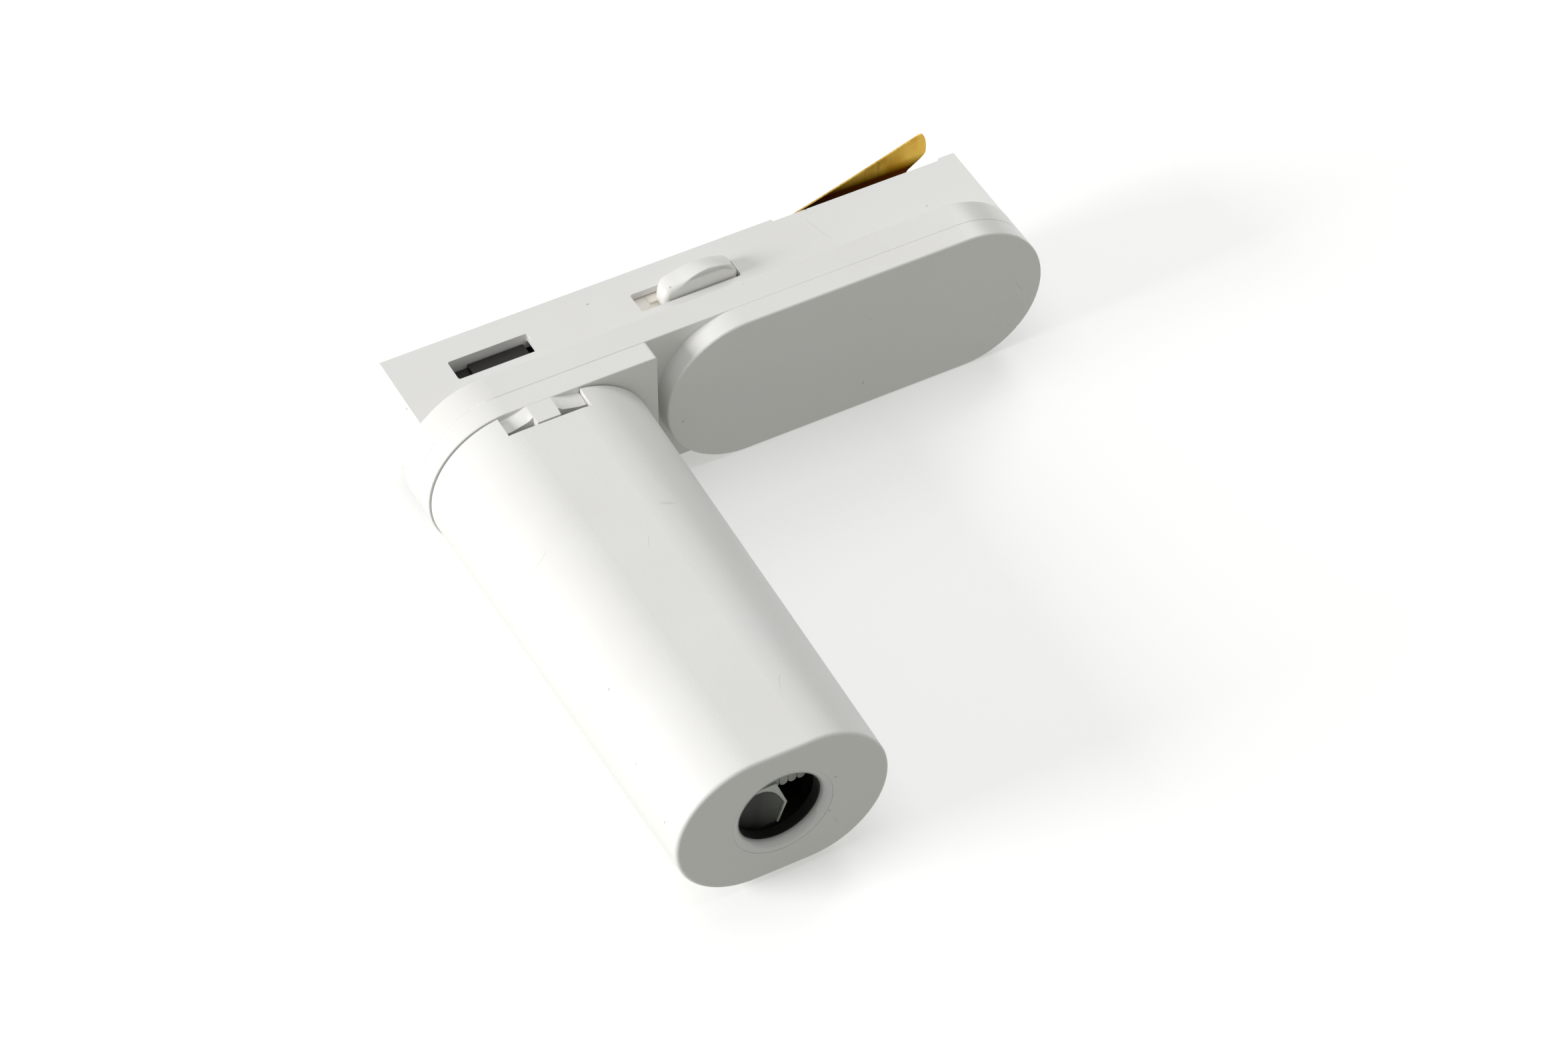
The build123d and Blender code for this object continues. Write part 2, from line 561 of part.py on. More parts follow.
TERMINAL_SCREW_LONG = 5.0
TERMINAL_TIP_Z = CLAMP_Z + 1.8
TERMINAL_HEAD = (1.9, 1.5)          # radius and height
TERMINAL_DRIVE = (4.2, 0.6, 1.0)    # slot's length, width and depth
with BuildPart() as terminal_screws:
    with BuildSketch(Plane.XY.offset(TERMINAL_TIP_Z)):
        with Locations(*TERMINAL_SCREW_PLACES):
            Circle(SCREW_R - RUNNING)
    extrude(amount=TERMINAL_SCREW_LONG)
    with BuildSketch(Plane.XY.offset(TERMINAL_TIP_Z + TERMINAL_SCREW_LONG - TERMINAL_HEAD[1] / 3)):
        with Locations(*TERMINAL_SCREW_PLACES):
            Circle(TERMINAL_HEAD[0])
    terminal_head = extrude(amount=TERMINAL_HEAD[1])
    with BuildSketch(Plane.XY.offset(terminal_head.bounding_box().max.Z)):
        with Locations(*TERMINAL_SCREW_PLACES):
            Rectangle(TERMINAL_DRIVE[0], TERMINAL_DRIVE[1])
    extrude(amount=-TERMINAL_DRIVE[2], mode=Mode.SUBTRACT)
save(terminal_screws.part, "terminal_screws")

# ---- contact carrier, rotor and contacts inside the insert ----
CARRIER_THICK = 2.0
CARRIER_WIDE = 16.4
CARRIER_LONG = 30.0
CARRIER_ROOM_Y = OPENING_Y + WINDOW_SIZE[1] / 2 + COLLAR_THICK + GAP
STRIP_THICK = 0.5
ROTOR_THICK = 4.8
ROTOR_Y = (OPENING_Y - ROTOR_THICK / 2, OPENING_Y + ROTOR_THICK / 2)
ROTOR_SIZE = (15.6, 16.4)
ROTOR_STEP = (3.0, 0.9)     # length and height of the step at two of its corners
WING_R = 11.2
SWEEP_LONG = 25.6           # room that the turning wings need
CARRIER_CORNER = 1.0
WING_WIDE = 5.0
PINION_R = 2.8              # pitch radius
TEETH = 8
ADDENDUM = 0.55
DEDENDUM = 0.7
GEAR_TOOTH = 0.8            # thickness of each straight tooth
PINION_THICK = 4.1
RACK_Y = (ROTOR_Y[0] - PINION_THICK + GAP, ROTOR_Y[0] - GAP)

with BuildPart() as contact_carrier:
    # base and back of the carrier, joined at both ends beyond the rotor's sweep
    with BuildSketch(facing(FLOOR_Y)):
        with Locations((WINDOW_X, 0)):
            RectangleRounded(CARRIER_LONG, CARRIER_WIDE, CARRIER_CORNER)
            Circle(PIN_R, mode=Mode.SUBTRACT)
        with Locations(*[(x, CLAMP_Z - MID_Z) for x in POLE_XS]):
            Circle(WIRE_R + RUNNING, mode=Mode.SUBTRACT)
    extrude(amount=FLOOR_Y - SEAT_Y)
    # room for the rotor, the pinion and the rack
    with BuildSketch(facing(CARRIER_ROOM_Y)):
        with Locations((WINDOW_X, 0)):
            Rectangle(SWEEP_LONG, 2 * CARRIER_WIDE)
    extrude(amount=CARRIER_ROOM_Y - SEAT_Y - CARRIER_THICK, mode=Mode.SUBTRACT)
    with BuildSketch(facing(RACK_Y[1] + GAP)):
        with Locations((WINDOW_X, CARRIER_WIDE / 2)):
            Rectangle(2 * CARRIER_LONG, CARRIER_WIDE - 2 * PINION_R + 2 * DEDENDUM)
    extrude(amount=RACK_Y[1] - RACK_Y[0] + 2 * GAP, mode=Mode.SUBTRACT)
save(contact_carrier.part, "contact_carrier")

with BuildPart() as rotor_pin:
    with BuildSketch(facing(FLOOR_Y)):
        with Locations((WINDOW_X, 0)):
            Circle(PIN_R)
    extrude(amount=FLOOR_Y - SEAT_Y)
save(rotor_pin.part, "rotor_pin")

with BuildPart() as contact_rotor:
    with BuildSketch(facing(ROTOR_Y[1])):
        with Locations((WINDOW_X, 0)):
            Circle(WING_R)
            Rectangle(2 * WING_R, WING_WIDE, mode=Mode.INTERSECT)
            Rectangle(*ROTOR_SIZE)
            Circle(PIN_R + RUNNING, mode=Mode.SUBTRACT)
        step_x = (ROTOR_SIZE[0] - ROTOR_STEP[0]) / 2
        step_z = (ROTOR_SIZE[1] - ROTOR_STEP[1]) / 2
        for side in (-1, 1):
            with Locations((WINDOW_X + side * step_x, -side * step_z)):
                Rectangle(*ROTOR_STEP, mode=Mode.SUBTRACT)
    extrude(amount=ROTOR_Y[1] - ROTOR_Y[0])
    # pinion under the rotor, turned so that a gap faces the rack
    with BuildSketch(facing(ROTOR_Y[0])):
        with Locations((WINDOW_X, 0)):
            Circle(PINION_R - DEDENDUM)
            with PolarLocations(PINION_R, TEETH, start_angle=90 + 180 / TEETH):
                Rectangle(2 * ADDENDUM + DEDENDUM, GEAR_TOOTH)
            Circle(PINION_R + ADDENDUM, mode=Mode.INTERSECT)
            Circle(PIN_R + RUNNING, mode=Mode.SUBTRACT)
    extrude(amount=PINION_THICK)
save(contact_rotor.part, "contact_rotor")

TIP_THICK = 0.6
TIP_HIGH = 2.0
with BuildPart() as rotor_contacts:
    # a brass cap on the middle of each wing's end
    with BuildSketch(facing(OPENING_Y + TIP_HIGH / 2)):
        with Locations((WINDOW_X, 0)):
            Circle(WING_R + TIP_THICK)
            Rectangle(3 * WING_R, WING_WIDE - 2 * TIP_THICK, mode=Mode.INTERSECT)
            Circle(WING_R, mode=Mode.SUBTRACT)
    extrude(amount=TIP_HIGH)
save(rotor_contacts.part, "rotor_contacts")

CONTACT_STRIP = (8.0, 5.0)
CONTACT_STRIP_OFFSET = 8.6
with BuildPart() as contact_strips:
    # spring strips on the carrier, one each side of the rotor pin
    for side in (-1, 1):
        with BuildSketch(facing(SEAT_Y + CARRIER_THICK + STRIP_THICK)):
            with Locations((WINDOW_X + side * CONTACT_STRIP_OFFSET, CLAMP_Z - MID_Z)):
                Rectangle(*CONTACT_STRIP)
        extrude(amount=STRIP_THICK)
save(contact_strips.part, "contact_strips")

# ---- thumb slider with its rack ----
THUMB_X = (-7.4, 9.9)
THUMB_MID_X = (THUMB_X[0] + THUMB_X[1]) / 2
THUMB_CORNER = 1.6
THUMB_EDGE = 0.9
THUMB_THICK = 4.6
THUMB_TOP_Z = 33.3
THUMB_DOME_R = 15.0
THUMB_DOME_X = THUMB_MID_X + 0.6
FOOT_THICK = 1.6
FOOT_SIZE = (23.8, 10.0)
FOOT_OFFSET = 2.9
RACK_PITCH = 2 * math.pi * PINION_R / TEETH
RACK_ROOT_Z = MID_Z + PINION_R + DEDENDUM
RACK_TOP_Z = MID_Z + INSERT_TOP - INSERT_SKIN - GAP
FOOT_TOP_Z = MID_Z + INSERT_TOP - SLOT_WALL - GAP
RACK_START_X = WINDOW_X - 8.0
with BuildPart() as thumb_slider:
    thumb_foot_z = FOOT_TOP_Z - FOOT_THICK
    with BuildSketch(facing(OPENING_Y + THUMB_THICK / 2, 0)):
        with Locations((THUMB_DOME_X, THUMB_TOP_Z - THUMB_DOME_R)):
            Circle(THUMB_DOME_R)
        with Locations((THUMB_MID_X, (thumb_foot_z + THUMB_TOP_Z) / 2)):
            Rectangle(THUMB_X[1] - THUMB_X[0], THUMB_TOP_Z - thumb_foot_z, mode=Mode.INTERSECT)
    extrude(amount=THUMB_THICK)
    dome_ends = thumb_slider.edges().filter_by(Axis.Y).group_by(Axis.Z)[-1]
    fillet(dome_ends, THUMB_CORNER)
    fillet(thumb_slider.faces().sort_by(Axis.Y)[0].edges().sort_by(Axis.Z)[-1:], THUMB_EDGE)
    # foot under the wall
    with BuildSketch(Plane.XY.offset(FOOT_TOP_Z)):
        with Locations((THUMB_MID_X - FOOT_OFFSET, OPENING_Y)):
            Rectangle(*FOOT_SIZE)
    extrude(amount=-FOOT_THICK)
    # rack bar, from the foot to the pinion
    with BuildSketch(Plane.XY.offset(RACK_TOP_Z)):
        with Locations(((RACK_START_X + THUMB_X[1]) / 2, (RACK_Y[0] + RACK_Y[1]) / 2)):
            Rectangle(THUMB_X[1] - RACK_START_X, RACK_Y[1] - RACK_Y[0])
    extrude(amount=RACK_ROOT_Z - RACK_TOP_Z)
    with BuildSketch(facing(RACK_Y[1], RACK_ROOT_Z)):
        for n in range(-2, 4):
            with Locations((WINDOW_X + n * RACK_PITCH, 0)):
                Rectangle(GEAR_TOOTH, 2 * (RACK_ROOT_Z - MID_Z - PINION_R + ADDENDUM))
    extrude(amount=RACK_Y[1] - RACK_Y[0])
save(thumb_slider.part, "thumb_slider")

# ---- earth contact ----
BLADE_THICK = 0.4
BLADE_TOP_Z = 28.0
BLADE_WIDE = 9.0
BLADE_NECK = (5.4, 2.6)     # where the lower edge starts to rise, and where it flattens, from the end
BLADE_TIP_WIDE = 6.1
BLADE_TIP_SLOPE = 1.1
BLADE_TIP_SLANT = (1.6, 1.2)
BEND_X = 28.2
RECESS_Y = BACK_Y - RECESS_DEEP
BLADE_RISE = OVERALL_DEPTH / 2 - RECESS_Y
BLADE_ANGLE = 14.7
BLADE_LONG = (BLADE_RISE - BLADE_THICK) / math.sin(math.radians(BLADE_ANGLE))
FOOT_X = (24.1, BEND_X - 0.1)
RIVET_HEAD = (1.6, 0.3)     # radius and height
EARTH_STRIP_Y = FLANGE_Y - 2.0
EARTH_STRIP_WIDE = 3.0
EARTH_PAD_WIDE = 4.0
EARTH_RUN_Z = 10.0

with BuildPart() as earth_foot:
    with BuildSketch(facing(RECESS_Y + BLADE_THICK, 0)):
        with Locations(((FOOT_X[0] + FOOT_X[1]) / 2, BLADE_TOP_Z - BLADE_WIDE / 2)):
            Rectangle(FOOT_X[1] - FOOT_X[0], BLADE_WIDE)
        with Locations((EARTH_X, RIVET_Z)):
            Circle(RIVET_R, mode=Mode.SUBTRACT)
    extrude(amount=BLADE_THICK)
save(earth_foot.part, "earth_foot")

blade_plane = Plane(
    origin=(BEND_X, RECESS_Y + BLADE_THICK, 0),
    x_dir=(math.cos(math.radians(BLADE_ANGLE)), math.sin(math.radians(BLADE_ANGLE)), 0),
    z_dir=(math.sin(math.radians(BLADE_ANGLE)), -math.cos(math.radians(BLADE_ANGLE)), 0),
)
with BuildPart() as earth_blade:
    with BuildSketch(blade_plane):
        with BuildLine():
            Polyline(
                (0, BLADE_TOP_Z - BLADE_WIDE),
                (BLADE_LONG - BLADE_NECK[0], BLADE_TOP_Z - BLADE_WIDE),
                (BLADE_LONG - BLADE_NECK[1], BLADE_TOP_Z - BLADE_TIP_WIDE - BLADE_TIP_SLOPE),
                (BLADE_LONG, BLADE_TOP_Z - BLADE_TIP_WIDE),
                (BLADE_LONG - BLADE_TIP_SLANT[0] / 2, BLADE_TOP_Z - BLADE_TIP_SLANT[1]),
                (BLADE_LONG - BLADE_TIP_SLANT[0], BLADE_TOP_Z),
                (0, BLADE_TOP_Z),
                close=True,
            )
        make_face()
    extrude(amount=BLADE_THICK)
save(earth_blade.part, "earth_blade")

with BuildPart() as earth_rivet:
    # stud from the blade's foot to the earth strip, with a low head outside
    with BuildSketch(facing(RECESS_Y + BLADE_THICK)):
        with Locations((EARTH_X, RIVET_Z - MID_Z)):
            Circle(RIVET_HEAD[0])
    extrude(amount=-RIVET_HEAD[1])
    with BuildSketch(facing(RECESS_Y + BLADE_THICK)):
        with Locations((EARTH_X, RIVET_Z - MID_Z)):
            Circle(RIVET_R)
    extrude(amount=RECESS_Y + BLADE_THICK - EARTH_STRIP_Y)
save(earth_rivet.part, "earth_rivet")

with BuildPart() as earth_strip:
    # brass strip in the flange's pocket, from the earth lead to the stud
    with BuildSketch(facing(EARTH_STRIP_Y)):
        with Locations(((EARTH_X + ARM_X) / 2, EARTH_RUN_Z - MID_Z)):
            Rectangle(EARTH_X - ARM_X + EARTH_PAD_WIDE, EARTH_STRIP_WIDE)
        for x, z in ((ARM_X, CLAMP_Z), (EARTH_X, RIVET_Z)):
            with Locations((x, (EARTH_RUN_Z + z) / 2 - MID_Z)):
                Rectangle(EARTH_PAD_WIDE, z - EARTH_RUN_Z + EARTH_STRIP_WIDE)
    extrude(amount=STRIP_THICK)
save(earth_strip.part, "earth_strip")

# ---- leads from the terminal block into the bar ----
LEAD_START_Y = 1.0
CONTACT_STRIP_Y = SEAT_Y + CARRIER_THICK
LEADS = {
    "lead_live": (POLE_XS[0], CONTACT_STRIP_Y),
    "lead_earth": (POLE_XS[1], EARTH_STRIP_Y - STRIP_THICK),
    "lead_neutral": (POLE_XS[2], CONTACT_STRIP_Y),
}
for lead_name, (lead_x, lead_end_y) in LEADS.items():
    with BuildPart() as lead:
        with BuildSketch(facing(lead_end_y)):
            with Locations((lead_x, CLAMP_Z - MID_Z)):
                Circle(WIRE_R)
        extrude(amount=lead_end_y - LEAD_START_Y)
    save(lead.part, lead_name)
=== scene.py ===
"""Looks of the lighting track adapter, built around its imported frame.

The scene is in metres, in the frame's axes. Shapes are drawn in millimetres and scaled by MM.
"""
import json
import math

import bmesh
import bpy
from mathutils import Euler, Matrix, Vector


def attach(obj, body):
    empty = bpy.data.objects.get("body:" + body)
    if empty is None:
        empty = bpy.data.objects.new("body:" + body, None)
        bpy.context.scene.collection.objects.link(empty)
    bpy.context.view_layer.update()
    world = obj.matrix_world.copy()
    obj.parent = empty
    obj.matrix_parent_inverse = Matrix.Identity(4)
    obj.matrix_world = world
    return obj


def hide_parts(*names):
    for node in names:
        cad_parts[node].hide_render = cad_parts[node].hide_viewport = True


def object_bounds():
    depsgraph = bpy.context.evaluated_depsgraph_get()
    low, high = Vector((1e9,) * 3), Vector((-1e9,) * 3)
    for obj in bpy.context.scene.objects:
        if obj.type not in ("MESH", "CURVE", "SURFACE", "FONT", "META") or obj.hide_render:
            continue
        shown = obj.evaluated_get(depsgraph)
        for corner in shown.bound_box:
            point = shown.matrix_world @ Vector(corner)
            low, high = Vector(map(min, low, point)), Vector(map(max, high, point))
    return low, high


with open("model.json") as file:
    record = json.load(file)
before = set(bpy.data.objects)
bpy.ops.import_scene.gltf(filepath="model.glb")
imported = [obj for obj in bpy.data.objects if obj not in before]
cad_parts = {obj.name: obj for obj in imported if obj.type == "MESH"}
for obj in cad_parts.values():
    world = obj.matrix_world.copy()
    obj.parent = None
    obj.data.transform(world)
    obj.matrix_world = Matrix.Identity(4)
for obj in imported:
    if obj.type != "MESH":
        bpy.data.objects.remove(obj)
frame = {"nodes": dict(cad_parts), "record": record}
cad_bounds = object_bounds()
scene = bpy.context.scene
MM = 0.001


# ---------------------------------------------------------------- camera, floor and lights
CAMERA_PLACE = (-0.3106, -0.5676, 0.6910)
CAMERA_AZIMUTH = -28.153        # degrees
CAMERA_ELEVATION = 46.597
CAMERA_ROLL = -0.10
LENS = 107.47                   # millimetres
SENSOR_WIDTH = 36.0

FLOOR_HALF = 3.0
FLOOR_DROP = 0.0001             # keeps the floor off the part's lowest faces
FLOOR_TONE = (0.93, 0.93, 0.93)
FLOOR_GLOW = 0.27               # lifts the paper to a nearly white background

WORLD_TONE = (0.99, 1.0, 0.93, 1.0)
WORLD_STRENGTH = 0.37
LIGHT_TARGET = (0.0, 0.0, 0.02)
LIGHTS = (                      # name, place, size, power, tint
    ("key", (-0.90, 0.10, 0.32), (0.35, 0.35), 7.6, (1.0, 0.99, 0.99)),
    ("overhead", (0.0, 0.10, 1.1), (0.9, 0.7), 2.6, (0.97, 0.96, 1.0)),
    ("back", (0.55, 0.45, 0.55), (0.4, 0.3), 1.4, (0.97, 0.97, 1.0)),
)


def make_camera():
    camera = bpy.data.objects.new("camera", bpy.data.cameras.new("camera"))
    scene.collection.objects.link(camera)
    camera.data.lens = LENS
    camera.data.sensor_width = SENSOR_WIDTH
    camera.data.clip_start = 0.01
    tilt = math.radians(90 - CAMERA_ELEVATION)
    turn = Euler((tilt, 0, math.radians(CAMERA_AZIMUTH))).to_matrix()
    turn = turn @ Matrix.Rotation(math.radians(CAMERA_ROLL), 3, "Z")
    camera.matrix_world = Matrix.Translation(CAMERA_PLACE) @ turn.to_4x4()
    scene.camera = camera


def make_floor():
    half = FLOOR_HALF
    low = cad_bounds[0][2] - FLOOR_DROP
    mesh = bpy.data.meshes.new("floor")
    corners = [(-half, -half, low), (half, -half, low), (half, half, low), (-half, half, low)]
    mesh.from_pydata(corners, [], [(0, 1, 2, 3)])
    floor = bpy.data.objects.new("floor", mesh)
    scene.collection.objects.link(floor)
    material, shader = new_material("floor_paper", FLOOR_TONE, 0.9)
    graph = material.node_tree
    fibre = texture(graph, "ShaderNodeTexNoise", 900.0, Detail=3.0)
    bump(graph, shader, fibre.outputs["Fac"], 0.05, 0.0001)
    shader.inputs["Emission Color"].default_value = (1.0, 1.0, 1.0, 1.0)
    shader.inputs["Emission Strength"].default_value = FLOOR_GLOW
    floor.data.materials.append(material)
    floor.visible_diffuse = False


def make_area_light(name, place, size, power, tint):
    light = bpy.data.objects.new(name, bpy.data.lights.new(name, "AREA"))
    scene.collection.objects.link(light)
    light.data.shape = "RECTANGLE"
    light.data.size, light.data.size_y = size
    light.data.energy = power
    light.data.color = tint
    light.location = place
    aim = Vector(LIGHT_TARGET) - Vector(place)
    light.rotation_euler = aim.to_track_quat("-Z", "Y").to_euler()


def make_lights():
    world = bpy.data.worlds.new("studio")
    world.use_nodes = True
    background = world.node_tree.nodes["Background"]
    background.inputs["Color"].default_value = WORLD_TONE
    background.inputs["Strength"].default_value = WORLD_STRENGTH
    scene.world = world
    for light in LIGHTS:
        make_area_light(*light)
    scene.view_settings.view_transform = "Standard"
    scene.view_settings.look = "None"


# ---------------------------------------------------------------- material nodes
def new_material(name, colour, roughness, **sockets):
    """A Principled material; sockets are set by their names, with _ for a space."""
    material = bpy.data.materials.new(name)
    material.use_nodes = True
    shader = material.node_tree.nodes["Principled BSDF"]
    shader.inputs["Base Color"].default_value = (*colour, 1.0)
    shader.inputs["Roughness"].default_value = roughness
    for socket, value in sockets.items():
        shader.inputs[socket.replace("_", " ")].default_value = value
    return material, shader


def coordinates(graph, kind):
    """The object's own place ("Object") or surface direction ("Normal")."""
    return graph.nodes.new("ShaderNodeTexCoord").outputs[kind]


def texture(graph, kind, scale, stretch=(1.0, 1.0, 1.0), **sockets):
    """A texture node on object coordinates; scale is in features per metre."""
    mapping = graph.nodes.new("ShaderNodeMapping")
    mapping.inputs["Scale"].default_value = stretch
    node = graph.nodes.new(kind)
    node.inputs["Scale"].default_value = scale
    for socket, value in sockets.items():
        node.inputs[socket].default_value = value
    graph.links.new(coordinates(graph, "Object"), mapping.inputs["Vector"])
    graph.links.new(mapping.outputs["Vector"], node.inputs["Vector"])
    return node


def ramp(graph, source, *stops):
    """A grey ramp of source through (position, value) stops."""
    node = graph.nodes.new("ShaderNodeValToRGB")
    elements = node.color_ramp.elements
    while len(elements) < len(stops):
        elements.new(0.5)
    for element, (position, value) in zip(elements, stops):
        element.position = position
        element.color = (value, value, value, 1.0)
    graph.links.new(source, node.inputs["Fac"])
    return node.outputs["Color"]


MIX_COLOURS = (6, 7)            # a mix node's colour inputs, after those for numbers and vectors
MIX_RESULT = 2


def mix_colour(graph, factor, first, second):
    """Mix two colours, each a constant or a socket."""
    node = graph.nodes.new("ShaderNodeMix")
    node.data_type = "RGBA"
    for index, value in zip(MIX_COLOURS, (first, second)):
        if isinstance(value, tuple):
            node.inputs[index].default_value = (*value, 1.0)
        else:
            graph.links.new(value, node.inputs[index])
    graph.links.new(factor, node.inputs["Factor"])
    return node.outputs[MIX_RESULT]


def multiply(graph, first, second):
    node = graph.nodes.new("ShaderNodeMath")
    node.operation = "MULTIPLY"
    graph.links.new(first, node.inputs[0])
    graph.links.new(second, node.inputs[1])
    return node.outputs["Value"]


def less_than(graph, value, limit):
    node = graph.nodes.new("ShaderNodeMath")
    node.operation = "LESS_THAN"
    node.inputs[1].default_value = limit
    graph.links.new(value, node.inputs[0])
    return node.outputs["Value"]


def vector_math(graph, operation, first, second):
    """An operation on a vector socket and a second vector, a constant or a socket."""
    node = graph.nodes.new("ShaderNodeVectorMath")
    node.operation = operation
    graph.links.new(first, node.inputs[0])
    if isinstance(second, tuple):
        node.inputs[1].default_value = second
    else:
        graph.links.new(second, node.inputs[1])
    return node.outputs["Value" if operation == "DOT_PRODUCT" else "Vector"]


def along(graph, direction, offset, reach):
    """0 to 1 over a reach in metres, along a direction in the object's own axes."""
    distance = vector_math(graph, "DOT_PRODUCT", coordinates(graph, "Object"), direction)
    spread = graph.nodes.new("ShaderNodeMapRange")
    spread.inputs["From Min"].default_value = offset
    spread.inputs["From Max"].default_value = offset + reach
    graph.links.new(distance, spread.inputs["Value"])
    return spread.outputs["Result"]


def bump(graph, shader, height, strength, distance):
    """Add a bump on top of the shader's earlier ones."""
    node = graph.nodes.new("ShaderNodeBump")
    node.inputs["Strength"].default_value = strength
    node.inputs["Distance"].default_value = distance
    graph.links.new(height, node.inputs["Height"])
    previous = shader.inputs["Normal"].links
    if previous:
        graph.links.new(previous[0].from_socket, node.inputs["Normal"])
    graph.links.new(node.outputs["Normal"], shader.inputs["Normal"])


def tinted(colour, factors):
    return tuple(c * k for c, k in zip(colour, factors))


def overlay(material, factor, colour):
    """Lay a colour over the material's own, as far as the factor says."""
    graph = material.node_tree
    base = graph.nodes["Principled BSDF"].inputs["Base Color"]
    own = base.links[0].from_socket
    graph.links.new(mix_colour(graph, factor, own, colour), base)
    return material


# ---------------------------------------------------------------- materials
CLOUD_SCALE = 45.0              # slow changes of tone and gloss, features per metre
DUST_SCALE = 105.0
HAIR_SCALE = 30.0               # hairline marks, kept only in small patches
PATCH_SCALE = 120.0
CLOUD_WARMTH = (0.985, 0.98, 0.965)
HAIR_TONE = 0.86
HAIR_DEPTH = 0.00003            # metres
BRASS_LINE_SCALE = 420.0
TARNISH_SCALE = 130.0
LINE_TONE = 0.8
TARNISH_TINT = (0.62, 0.48, 0.35)
BRASS_EDGE_TINT = (0.8, 0.5, 0.15, 1.0)
STEEL_GRAIN_SCALE = 2500.0
METAL_DEPTH = 0.00003           # metres


def plastic(name, colour, roughness, grain, grain_depth, speck=0.55):
    """Moulded plastic: fine grain, slow changes of tone and gloss, dust and hairline marks."""
    material, shader = new_material(name, colour, sum(roughness) / 2, Specular_IOR_Level=0.5)
    graph = material.node_tree
    cloud = texture(graph, "ShaderNodeTexNoise", CLOUD_SCALE, Detail=3.0).outputs["Fac"]
    dust = texture(graph, "ShaderNodeTexVoronoi", DUST_SCALE).outputs["Distance"]
    dust_spot = ramp(graph, dust, (0.0, 1.0), (0.022, 0.7), (0.034, 0.0))
    hair = texture(graph, "ShaderNodeTexNoise", HAIR_SCALE, Detail=0.0, Distortion=0.6)
    hair_line = ramp(graph, hair.outputs["Fac"], (0.497, 0.0), (0.5, 1.0), (0.503, 0.0))
    patch = texture(graph, "ShaderNodeTexNoise", PATCH_SCALE, Detail=0.0).outputs["Fac"]
    marks = multiply(graph, hair_line, ramp(graph, patch, (0.70, 0.0), (0.73, 1.0)))

    cloud_tone = ramp(graph, cloud, (0.3, 0.0), (0.7, 1.0))
    shade = mix_colour(graph, cloud_tone, tinted(colour, CLOUD_WARMTH), colour)
    shade = mix_colour(graph, dust_spot, shade, tinted(colour, (speck,) * 3))
    shade = mix_colour(graph, marks, shade, tinted(colour, (HAIR_TONE,) * 3))
    graph.links.new(shade, shader.inputs["Base Color"])

    gloss = ramp(graph, cloud, (0.3, roughness[0]), (0.7, roughness[1]))
    graph.links.new(gloss, shader.inputs["Roughness"])
    skin = texture(graph, "ShaderNodeTexNoise", grain, Detail=2.0, Roughness=0.6)
    bump(graph, shader, skin.outputs["Fac"], 0.5, grain_depth)
    bump(graph, shader, marks, 0.25, HAIR_DEPTH)
    return material


def brass(name, colour, stretch):
    """Rolled brass strip: fine lines along the roll, tarnish in slow patches."""
    material, shader = new_material(name, colour, 0.28, Metallic=1.0, Specular_Tint=BRASS_EDGE_TINT)
    graph = material.node_tree
    lines = texture(
        graph, "ShaderNodeTexNoise", BRASS_LINE_SCALE, stretch=stretch, Detail=4.0, Roughness=0.7
    ).outputs["Fac"]
    tarnish = texture(graph, "ShaderNodeTexNoise", TARNISH_SCALE, Detail=4.0, Distortion=0.4)
    line_tone = ramp(graph, lines, (0.32, 0.0), (0.68, 1.0))
    tarnish_tone = ramp(graph, tarnish.outputs["Fac"], (0.42, 0.0), (0.72, 1.0))
    shade = mix_colour(graph, line_tone, tinted(colour, (LINE_TONE,) * 3), colour)
    shade = mix_colour(graph, tarnish_tone, shade, tinted(colour, TARNISH_TINT))
    graph.links.new(shade, shader.inputs["Base Color"])
    graph.links.new(ramp(graph, lines, (0.3, 0.22), (0.7, 0.4)), shader.inputs["Roughness"])
    bump(graph, shader, lines, 0.35, METAL_DEPTH)
    return material


def steel(name, colour):
    """Zinc-plated screw steel, turned, with slight dulling."""
    material, shader = new_material(name, colour, 0.35, Metallic=1.0)
    graph = material.node_tree
    grain = texture(
        graph, "ShaderNodeTexNoise", STEEL_GRAIN_SCALE, stretch=(1.0, 0.15, 1.0), Detail=3.0
    ).outputs["Fac"]
    tone = ramp(graph, grain, (0.3, 0.0), (0.7, 1.0))
    shade = mix_colour(graph, tone, tinted(colour, (0.7,) * 3), colour)
    graph.links.new(shade, shader.inputs["Base Color"])
    graph.links.new(ramp(graph, grain, (0.3, 0.28), (0.7, 0.5)), shader.inputs["Roughness"])
    bump(graph, shader, grain, 0.3, METAL_DEPTH)
    return material


ARM_X = -45.6                   # the housing's middle line
MID_Z = 18.0
# painted shade: the sleeve's walls that face its middle line from further away than this are
# painted black
INSIDE_REACH = -0.0125          # metres; walls nearer to that line, as in the notch, stay light
# the blade's painted dark reflection lies in a band:
BAND_DIRECTION = (0.2895, 0.0, 1.0)     # the band slants down towards the blade's tip
BAND_START = 0.0384             # metres along that direction, where it is still fully dark
BAND_REACH = 0.0030
FADE_DIRECTION = (-1.0, 0.0, 0.12)
FADE_START = 0.0452
FADE_REACH = 0.0048


def paint_inside_shade(material, inside):
    """Painted shade: darken the surfaces that face the housing's middle line from further away, the
    inner walls that lie in shade inside the sleeve.
    """
    graph = material.node_tree
    middle = (ARM_X * MM, 0.0, MID_Z * MM)
    outward = vector_math(graph, "SUBTRACT", coordinates(graph, "Object"), middle)
    flat = vector_math(graph, "MULTIPLY", outward, (1.0, 0.0, 1.0))
    facing = vector_math(graph, "DOT_PRODUCT", flat, coordinates(graph, "Normal"))
    return overlay(material, less_than(graph, facing, INSIDE_REACH), inside)


